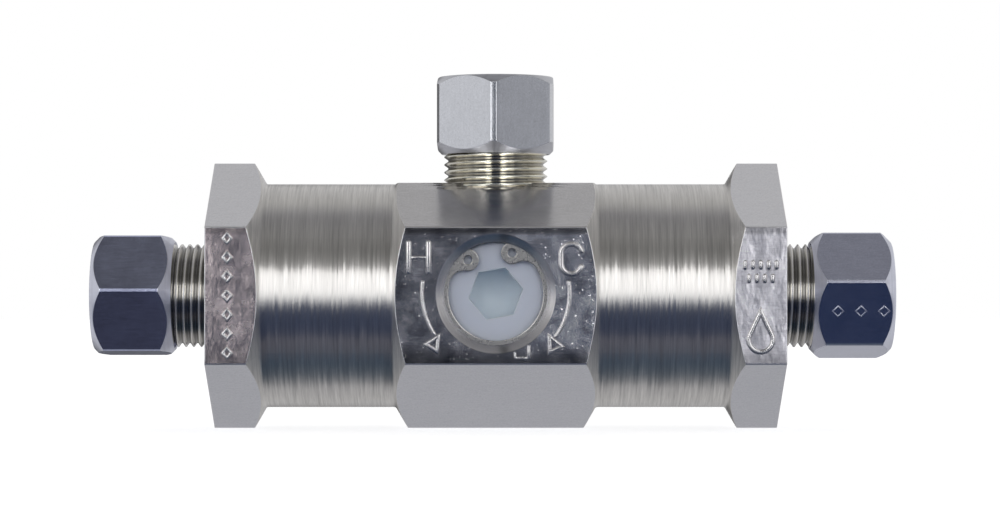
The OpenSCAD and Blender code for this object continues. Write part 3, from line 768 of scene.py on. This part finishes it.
NICKEL = (0.78, 0.765, 0.745)
ALONG_X = (0.1, 1, 1)
ALONG_Z = (1, 1, 0.1)
MATS = {
    "barrel": turned_metal("nickel_turned", (0.82, 0.80, 0.77), (1, 0, 0)),
    "facet": milled_metal("nickel_facet", (0.96, 0.955, 0.98), 0.3, ALONG_X, 5.0, 0.001, 0.25, 0.1, 0.0,
                          0.12, 0.75),
    # The centre block's upper slanted facets: a darker copy of the facet finish, painted shade under the
    # outlet nut.
    "land": milled_metal("nickel_facet_upper_painted_shade", (0.66, 0.65, 0.655), 0.22, ALONG_X, 5.0, 0.001, 0.25, 0.15,
                         0.0, 0.16, 0.6),
    # The front faces carry painted shade along their top and bottom edges, and the centre one a painted light
    # gradient towards the right. The flange fronts are copies of the same plated nickel: the left one darker
    # and warmer as painted shade, the right one brighter as painted light.
    "front": milled_metal("nickel_front", (0.76, 0.75, 0.77), 0.23, ALONG_X, 4.5, 0.006, 1.0, 1.4, 0.05,
                          0.6, 0.5, 0.3, 0.75),
    "front_left_painted_shade": milled_metal("nickel_front_left", (0.76, 0.665, 0.66), 0.25, ALONG_X, 4.5, 0.004, 0.12,
                               0.5, 0.05, 0.4, 0.5, 0.7),
    "front_right_painted_light": milled_metal("nickel_front_right", (0.92, 0.90, 0.94), 0.32, ALONG_X, 4.5, 0.006, 0.3, 0.7,
                                0.09, 0.5, 0.4, 0.6),
    "end": turned_metal("nickel_faced", NICKEL, (1, 0, 0), 0.3, 0.0, 0.02, 0.08, 3.0, 1.5),
    "bore": turned_metal("nickel_bore", (0.67, 0.66, 0.67), (0, 1, 0), 0.22, 0.5, 0.03, 0.1, 5.0),
    "marks": milled_metal("nickel_marks", (0.66, 0.65, 0.65), 0.27, (1, 1, 1), 3.0, 0.006, 0.6),
    # the thread finishes carry painted shade in their roots
    "thread_x": turned_metal("nickel_thread_side", (0.84, 0.82, 0.78), (1, 0, 0), 0.2, 0.3, 0.02, 0.1,
                             painted_root_shade=0.36),
    "thread_z": turned_metal("nickel_thread_top", (0.98, 0.94, 0.82), (0, 0, 1), 0.15, 0.3, 0.02, 0.1,
                             painted_root_shade=0.45),
    "nut": milled_metal("chrome_nut_side", (0.64, 0.66, 0.78), 0.22, ALONG_X, 4.0, 0.003, 0.4, 0.15, 0.0,
                        0.25),
    # The hot nut's facets: a darker, bluer copy of the nut finish, painted shade with a painted reflection
    # tint.
    "nut_hot_painted_shade": milled_metal("chrome_nut_hot", (0.58, 0.615, 0.82), 0.22, ALONG_X, 4.0, 0.003, 0.4, 0.2, 0.0,
                            0.35),
    "rim": turned_metal("chrome_nut_rim", (0.80, 0.82, 0.93), (1, 0, 0), 0.3, 0.0, 0.02, 0.1),
    "nut_up": milled_metal("chrome_nut_upright", (0.74, 0.75, 0.78), 0.22, ALONG_Z, 3.0, 0.003, 0.3, 0.12),
    "rim_up": turned_metal("chrome_nut_rim_upright", (0.72, 0.73, 0.77), (0, 0, 1), 0.3, 0.0, 0.02, 0.1),
    "ring": plain_metal("steel_ring", (0.5, 0.49, 0.475), 0.28, 2.5, 0.004),
    "steel": plain_metal("steel_bright", (0.62, 0.63, 0.65), 0.24),
    "brass": plain_metal("brass_turned", (0.80, 0.60, 0.30), 0.26),
    "acetal": soft_material("acetal_white", (0.70, 0.745, 0.85), 0.45, 0.004, 3.0, 0.4, 0.6, 0.06),
    # The spindle's hex socket: a lighter copy of the acetal, painted light that lifts the shade in the
    # recess.
    "acetal_painted_light": soft_material("acetal_socket_painted_light", (0.80, 0.875, 0.95), 0.5, 0.004, 3.0, 0.4, 0.9, 0.06),
    "plastic": soft_material("plastic_black", (0.028, 0.03, 0.034), 0.42, 0.01, 3.0),
    "rubber": soft_material("rubber_black", (0.016, 0.016, 0.018), 0.55, 0.012, 5.0),
}


def finish_node(name, key):
    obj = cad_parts[name]
    obj.data.materials.clear()
    obj.data.materials.append(MATS[key])


def give(obj, *keys):
    for key in keys:
        obj.data.materials.append(MATS[key])


def paint_body(obj):
    """Gives each face of the body the finish of the way it was machined. Three kinds are painted light
    instead: the left flange front gets a darker copy as painted shade, the right flange front a brighter copy
    as painted light, and the block's upper slanted facets a darker copy as painted shade.
    """
    obj.data.materials.clear()
    give(obj, "facet", "barrel", "front", "end", "bore", "front_left_painted_shade", "front_right_painted_light", "land")
    for poly in obj.data.polygons:
        c = poly.center / MM
        n = poly.normal
        from_axis = math.hypot(c.y + APOTHEM, c.z)
        from_stem_axis = math.hypot(c.x, c.z - STEM_Z)
        radial = (n.z * c.z + n.y * (c.y + APOTHEM)) / max(from_axis, 1e-6)
        kind = 0
        if from_axis < 15.3 or (from_stem_axis < MOUTH_R + 0.05 and c.y < -14 and abs(n.y) < 0.999):
            kind = 4
        elif abs(c.x) > BODY_HALF - 0.02:
            kind = 3
        elif n.y < -0.995 and c.y < -BAR_AF + 0.03:
            # on the flange fronts, kind 5 is the darker copy (painted shade) and kind 6 the brighter copy
            # (painted light)
            kind = 2 if abs(c.x) < BLOCK_FOOT + 1 else (5 if c.x < 0 else 6)
        elif radial > 0 and (from_axis < BARREL_R + 0.04 or 0.2 < abs(n.x) < 0.97):
            kind = 1
        # kind 7, the block's upper slanted facets, is the darker copy of the facet finish: painted shade
        if kind == 0 and abs(c.x) < BLOCK_FOOT and n.z > 0.5 and n.y < -0.3:
            kind = 7
        poly.material_index = kind


# ---- build ----

body, marks = valve_body()
paint_body(body)
weighted(body)
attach(body, "housing")
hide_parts("valve_body")
give(marks, "marks")
weighted(marks)
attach(marks, "housing")

def span(node, axis):
    """Lowest and highest place of a CAD node along one axis, in millimetres."""
    low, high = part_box(node)
    return low[axis] / MM, high[axis] / MM


def paint_nut(obj, axis, facet_key, rim_key):
    """Facets and bore keep one finish; the turned ends and rims get another."""
    give(obj, facet_key, rim_key)
    for poly in obj.data.polygons:
        poly.material_index = int(abs(poly.normal[axis]) > 0.12)


hot_at, cold_at, outlet_at = span("hot_nut", 0), span("cold_nut", 0), span("outlet_nut", 2)
hot_nut = nut("hot_nut_hex", on_hot(-hot_at[1]), hot_at[1] - hot_at[0], -34.8, 0.42)
cold_nut = nut("cold_nut_hex", on_cold(cold_at[0]), cold_at[1] - cold_at[0], -17.5, 0.46)
outlet_nut = nut("outlet_nut_hex", on_outlet(outlet_at[0]), outlet_at[1] - outlet_at[0], 28.0, 0.75, 7.84)
stamps = lozenge_stamps("cold_nut_stamps", -17.5, cold_at[0], (3.13, 6.26, 9.4))
for obj, side, axis, facet, rim in (
    (hot_nut, "hot", 0, "nut_hot_painted_shade", "rim"),
    (cold_nut, "cold", 0, "nut", "rim"),
    (outlet_nut, "outlet", 2, "nut_up", "rim_up"),
):
    paint_nut(obj, axis, facet, rim)
    weighted(obj)
    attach(obj, side + "_union_nut")
    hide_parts(side + "_nut")
give(stamps, "rim")
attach(stamps, "cold_union_nut")

hot_free = -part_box("hot_nipple")[0].x / MM - BODY_HALF
cold_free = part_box("cold_nipple")[1].x / MM - BODY_HALF
outlet_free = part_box("outlet_nipple")[1].z / MM - LAND_Z
nipples = (
    nipple("hot_nipple_threaded", on_hot(BODY_HALF), 7.9, hot_free, -0.6),
    nipple("cold_nipple_threaded", on_cold(BODY_HALF), 7.9, cold_free, -0.6),
    nipple("outlet_nipple_threaded", on_outlet(LAND_Z), 6.25, outlet_free, -2.4),
)
for obj, side in zip(nipples, ("hot", "cold", "outlet")):
    give(obj, "thread_z" if side == "outlet" else "thread_x")
    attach(obj, "housing")
    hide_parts(side + "_nipple")

ring_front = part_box("retaining_ring")[0].y / MM
ring = softened("retaining_ring_rolled", "retaining_ring", 0.12, at_depth(ring_front), 10)
give(ring, "ring")
weighted(ring)
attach(ring, "housing")
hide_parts("retaining_ring")

spindle_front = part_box("mixing_spindle")[0].y / MM
spindle = softened("mixing_spindle_moulded", "mixing_spindle", 0.1, at_depth(spindle_front), 14)
give(spindle, "acetal", "acetal_painted_light")
# faces inside the hex socket get the lighter acetal copy: painted light in the recess
for poly in spindle.data.polygons:
    c = poly.center / MM
    poly.material_index = int(math.hypot(c.x, c.z - STEM_Z) < 3.7 and -BAR_AF < c.y < -20)
weighted(spindle)
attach(spindle, "adjuster")
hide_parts("mixing_spindle")

finish_node("stop_pin", "steel")
for name in ("spindle_front_o_ring", "spindle_rear_o_ring"):
    finish_node(name, "rubber")
for side in ("hot", "cold"):
    finish_node(side + "_check_cage", "plastic")
    finish_node(side + "_check_seat", "brass")
    finish_node(side + "_check_o_ring", "rubber")
    finish_node(side + "_check_poppet", "acetal")
    finish_node(side + "_check_seal", "rubber")
    finish_node(side + "_check_spring", "steel")
for side in ("hot", "cold", "outlet"):
    finish_node(side + "_ferrule", "brass")


# ---- studio ----

# radiance round the bar's axis, by angle from the camera's side upwards: degrees, red, green, blue
SKY = (
    (-180, 0.46, 0.46, 0.47),
    (-135, 0.49, 0.49, 0.50),
    (-112, 0.43, 0.43, 0.45),
    (-101, 0.17, 0.18, 0.20),
    (-92, 0.06, 0.085, 0.12),
    (-72, 0.036, 0.062, 0.105),
    (-64, 0.09, 0.10, 0.135),
    (-47, 0.12, 0.12, 0.155),
    (-41, 0.018, 0.031, 0.075),
    (-6, 0.018, 0.031, 0.075),
    (0, 0.045, 0.055, 0.08),
    (24, 0.11, 0.11, 0.13),
    (31, 0.32, 0.32, 0.32),
    (50, 0.18, 0.18, 0.18),
    (64, 0.26, 0.26, 0.26),
    (82, 0.26, 0.26, 0.27),
    (94, 0.24, 0.24, 0.26),
    (112, 0.48, 0.48, 0.48),
    (135, 0.55, 0.55, 0.56),
    (180, 0.62, 0.62, 0.63),
)

KEY_STRONG = 3.9
KEY_WEAK = 1.05
FAR_LEFT = 0.55
FAR_RIGHT = 0.27
FLANK = 0.11
STRIP_DARK = 0.78
BEHIND_DARK = 0.8
CAMERA_DISTANCE = 0.4427


def build_world():
    world = bpy.data.worlds.new("studio")
    scene.world = world
    world.use_nodes = True
    tree = world.node_tree
    tree.nodes.clear()
    ray = new_node(tree, "TexCoord").outputs["Generated"]
    parts = new_node(tree, "SeparateXYZ", {0: ray})
    x, y, z = parts.outputs
    front = maths(tree, "MULTIPLY", y, -1.0)
    angle = maths(tree, "ARCTAN2", z, front)
    degrees = maths(tree, "MULTIPLY", angle, 180 / math.pi)
    place = maths(tree, "ADD", maths(tree, "DIVIDE", degrees, 360.0), 0.5)
    ramp = new_node(tree, "ValToRGB", {0: place})
    stops = ramp.color_ramp.elements
    while len(stops) > 1:
        stops.remove(stops[-1])
    for i, (deg, r, g, b) in enumerate(SKY):
        stop = stops[0] if i == 0 else stops.new(deg / 360 + 0.5)
        stop.position = deg / 360 + 0.5
        stop.color = (r, g, b, 1)
    side = maths(tree, "MULTIPLY", maths(tree, "ARCSINE", x), 180 / math.pi)
    steep = maths(tree, "ABSOLUTE", degrees)
    wide = maths(tree, "ABSOLUTE", side)

    def window(value, rise, fall):
        """One between two smooth edges, each given by its start and end."""
        return maths(tree, "MULTIPLY", ramped(tree, value, *rise), ramped(tree, value, *fall, 1.0, 0.0))

    # two key lights, strong near the camera's axis and weak further out
    in_band = window(degrees, (-13.0, 5.0), (26.0, 30.0))
    left = maths(tree, "MULTIPLY", window(side, (-56.0, -50.0), (-14.0, -9.5)),
                 ramped(tree, side, -27.0, -19.0, KEY_WEAK, KEY_STRONG))
    right = maths(tree, "MULTIPLY", window(side, (9.5, 14.0), (41.0, 47.0)),
                  ramped(tree, side, 19.0, 27.0, KEY_STRONG, KEY_WEAK))
    keys = maths(tree, "MULTIPLY", maths(tree, "ADD", left, right), in_band)

    # fill from the far sides, and a little on the flanks
    far_left = maths(tree, "MULTIPLY", ramped(tree, side, -62.0, -50.0, 1.0, 0.0), FAR_LEFT)
    far_right = maths(tree, "MULTIPLY", ramped(tree, side, 48.0, 60.0), FAR_RIGHT)
    facing = ramped(tree, front, -0.2, 0.3)
    fill = maths(tree, "MULTIPLY", maths(tree, "ADD", far_left, far_right), facing)
    level = maths(tree, "MULTIPLY", ramped(tree, z, -0.25, 0.02), ramped(tree, z, 0.2, 0.5, 1.0, 0.15))
    fill = maths(tree, "MULTIPLY", fill, level)
    flank = maths(tree, "MULTIPLY", ramped(tree, wide, 34.0, 50.0), FLANK)
    total = maths(tree, "ADD", maths(tree, "ADD", keys, fill), flank)

    # a dark strip beside the camera and a dimmer patch behind the left side
    strip = window(side, (-14.0, -11.0), (-5.5, -3.5))
    tall = window(steep, (35.0, 42.0), (85.0, 95.0))
    dark = maths(tree, "MULTIPLY", maths(tree, "MULTIPLY", strip, tall), STRIP_DARK)
    behind = ramped(tree, steep, 150.0, 165.0)
    beside = window(side, (-75.0, -65.0), (-6.0, -2.0))
    dull = maths(tree, "MULTIPLY", maths(tree, "MULTIPLY", behind, beside), BEHIND_DARK)
    kept = maths(tree, "MULTIPLY", maths(tree, "SUBTRACT", 1.0, dark), maths(tree, "SUBTRACT", 1.0, dull))
    glow = new_node(tree, "CombineXYZ", {0: total, 1: total, 2: total}).outputs[0]
    sky = vector(tree, "SCALE", vector(tree, "ADD", ramp.outputs[0], glow), scale=kept)
    studio = new_node(tree, "Background", {0: sky})
    white = new_node(tree, "Background", {0: (1, 1, 1, 1)})
    path = new_node(tree, "LightPath").outputs["Is Camera Ray"]
    mix = new_node(tree, "MixShader", {0: path, 1: studio.outputs[0], 2: white.outputs[0]})
    out = new_node(tree, "OutputWorld")
    tree.links.new(mix.outputs[0], out.inputs[0])


def build_floor():
    half = 2.0
    z = CAD_BOX[0].z
    mesh = bpy.data.meshes.new("floor")
    corners = [(-half, -half, z), (half, -half, z), (half, half, z), (-half, half, z)]
    mesh.from_pydata(corners, [], [(0, 1, 2, 3)])
    floor = bpy.data.objects.new("floor", mesh)
    scene.collection.objects.link(floor)
    mat, tree, bsdf = material("floor_white")
    feed(tree, bsdf, colour=(0.85, 0.85, 0.85, 1), rough=0.9, spec=0.0)
    bsdf.inputs["Emission Color"].default_value = (1, 1, 1, 1)
    bsdf.inputs["Emission Strength"].default_value = 0.72
    mesh.materials.append(mat)
    floor.visible_glossy = False
    floor.visible_diffuse = False
    floor.visible_shadow = False


def build_camera():
    data = bpy.data.cameras.new("camera")
    data.lens = 115.2
    data.sensor_width = 36.0
    data.shift_x = 0.0042
    data.shift_y = 0.0352
    data.clip_start = 0.01
    data.clip_end = 10.0
    cam = bpy.data.objects.new("camera", data)
    scene.collection.objects.link(cam)
    cam.location = (0, -APOTHEM * MM - CAMERA_DISTANCE, 0)
    cam.rotation_euler = (math.radians(90), 0, 0)
    scene.camera = cam


build_world()
build_floor()
build_camera()
scene.view_settings.view_transform = "Standard"
